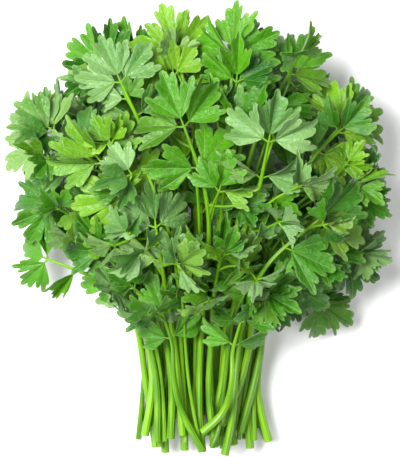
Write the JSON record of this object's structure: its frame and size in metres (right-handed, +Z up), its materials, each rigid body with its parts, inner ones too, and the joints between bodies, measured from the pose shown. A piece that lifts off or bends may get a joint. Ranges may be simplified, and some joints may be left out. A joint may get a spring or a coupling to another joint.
{
  "type": "bunch of flat-leaf parsley",
  "caption": "Cut bunch of flat-leaf parsley lying on its side: loose green stems that fan out into a full head of lobed, toothed leaves.",
  "frame": {"origin": "middle of the bottom of the bounding box, on the surface that the bunch lies on", "axes": "+Y from the cut stem ends towards the leaf tips, +Z up from the surface, +X across the bunch"},
  "size_m": [0.237, 0.2694, 0.1116],
  "materials": {
    "stem_green": "satin yellow-green stalk",
    "leaf_mid": "satin mid-green leaf",
    "leaf_dark": "satin dark green leaf",
    "leaf_pale": "matt pale grey-green leaf",
    "leaf_lime": "satin yellow-green leaf"
  },
  "bodies": {
    "root": {"stem_01": "stem_green", "stem_02": "stem_green", "stem_03": "stem_green", "stem_04": "stem_green", "stem_05": "stem_green", "stem_06": "stem_green", "stem_07": "stem_green", "stem_08": "stem_green", "stem_09": "stem_green", "stem_10": "stem_green", "stem_11": "stem_green", "stem_12": "stem_green", "stem_13": "stem_green", "stem_14": "stem_green", "stem_15": "stem_green", "stem_16": "stem_green", "stem_17": "stem_green", "stem_18": "stem_green", "stem_19": "stem_green", "stem_20": "stem_green", "stem_21": "stem_green", "stem_22": "stem_green", "stem_23": "stem_green", "stem_24": "stem_green", "stem_25": "stem_green", "stem_26": "stem_green", "stem_27": "stem_green", "stem_28": "stem_green", "stem_29": "stem_green", "stem_30": "stem_green", "leaf_01": "leaf_mid", "leaf_02": "leaf_mid", "leaf_03": "leaf_mid", "leaf_04": "leaf_dark", "leaf_05": "leaf_pale", "leaf_06": "leaf_lime", "leaf_07": "leaf_dark", "leaf_08": "leaf_lime", "leaf_09": "leaf_mid", "leaf_10": "leaf_pale", "leaf_11": "leaf_pale", "leaf_12": "leaf_mid", "leaf_13": "leaf_lime", "leaf_14": "leaf_mid", "leaf_15": "leaf_mid", "leaf_16": "leaf_lime", "leaf_17": "leaf_dark", "leaf_18": "leaf_dark", "leaf_19": "leaf_dark", "leaf_20": "leaf_pale", "leaf_21": "leaf_mid", "leaf_22": "leaf_mid", "leaf_23": "leaf_mid", "leaf_24": "leaf_dark", "leaf_25": "leaf_mid", "leaf_26": "leaf_mid", "leaf_27": "leaf_dark", "leaf_28": "leaf_mid", "leaf_29": "leaf_dark", "leaf_30": "leaf_dark"}
  },
  "joints": []
}
